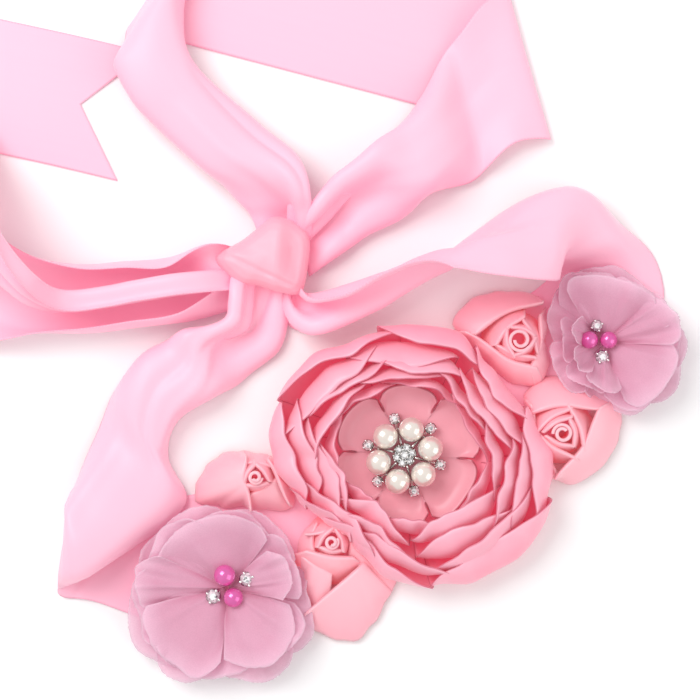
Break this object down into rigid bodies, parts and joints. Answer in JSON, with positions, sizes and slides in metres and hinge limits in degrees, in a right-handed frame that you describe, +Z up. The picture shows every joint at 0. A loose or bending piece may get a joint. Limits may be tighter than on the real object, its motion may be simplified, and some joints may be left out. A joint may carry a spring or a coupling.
{
  "type": "satin sash",
  "caption": "Satin ribbon sash tied in a half bow with two V-cut tails and a cluster of satin and chiffon flowers, laid flat.",
  "frame": {"origin": "middle of the footprint, on the table the sash lies on", "axes": "+Z up from the table; +Y towards the bow, -Y towards the flower cluster; +X to the right as seen from above"},
  "size_m": [0.3176, 0.2922, 0.0512],
  "materials": {
    "ribbon_satin": "double-faced satin, soft sheen",
    "rose_satin": "satin with heat-sealed edges",
    "chiffon": "matt, sheer",
    "ivory_pearl": "pearl coating",
    "pink_pearl": "pearl coating",
    "silver_setting": "polished plating",
    "clear_stone": "faceted"
  },
  "bodies": {
    "root": {"arm_left": "ribbon_satin", "arm_right": "ribbon_satin", "band": "ribbon_satin", "brooch_middle": "clear_stone", "brooch_pearl_1": "ivory_pearl", "brooch_pearl_2": "ivory_pearl", "brooch_pearl_3": "ivory_pearl", "brooch_pearl_4": "ivory_pearl", "brooch_pearl_5": "ivory_pearl", "brooch_pearl_6": "ivory_pearl", "brooch_setting": "silver_setting", "brooch_stone_1": "clear_stone", "brooch_stone_2": "clear_stone", "brooch_stone_3": "clear_stone", "brooch_stone_4": "clear_stone", "brooch_stone_5": "clear_stone", "brooch_stone_6": "clear_stone", "knot": "ribbon_satin", "left_chiffon_1": "chiffon", "left_chiffon_2": "chiffon", "left_chiffon_3": "chiffon", "left_pearl_1": "pink_pearl", "left_pearl_2": "pink_pearl", "left_rhinestone_1": "clear_stone", "left_rhinestone_2": "clear_stone", "loop_left_leg": "ribbon_satin", "loop_right_leg": "ribbon_satin", "loop_top_run": "ribbon_satin", "main_middle_disc": "rose_satin", "main_petals_1": "rose_satin", "main_petals_2": "rose_satin", "main_petals_3": "rose_satin", "main_petals_4": "rose_satin", "main_petals_5": "rose_satin", "right_chiffon_1": "chiffon", "right_chiffon_2": "chiffon", "right_chiffon_3": "chiffon", "right_pearl_1": "pink_pearl", "right_pearl_2": "pink_pearl", "right_rhinestone_1": "clear_stone", "right_rhinestone_2": "clear_stone", "rose_left_low_bud": "rose_satin", "rose_left_low_wrap": "rose_satin", "rose_left_top_bud": "rose_satin", "rose_left_top_wrap": "rose_satin", "rose_right_low_bud": "rose_satin", "rose_right_low_wrap": "rose_satin", "rose_right_top_bud": "rose_satin", "rose_right_top_wrap": "rose_satin", "tail_long": "ribbon_satin", "tail_long_end": "ribbon_satin", "tail_short": "ribbon_satin"}
  },
  "joints": []
}
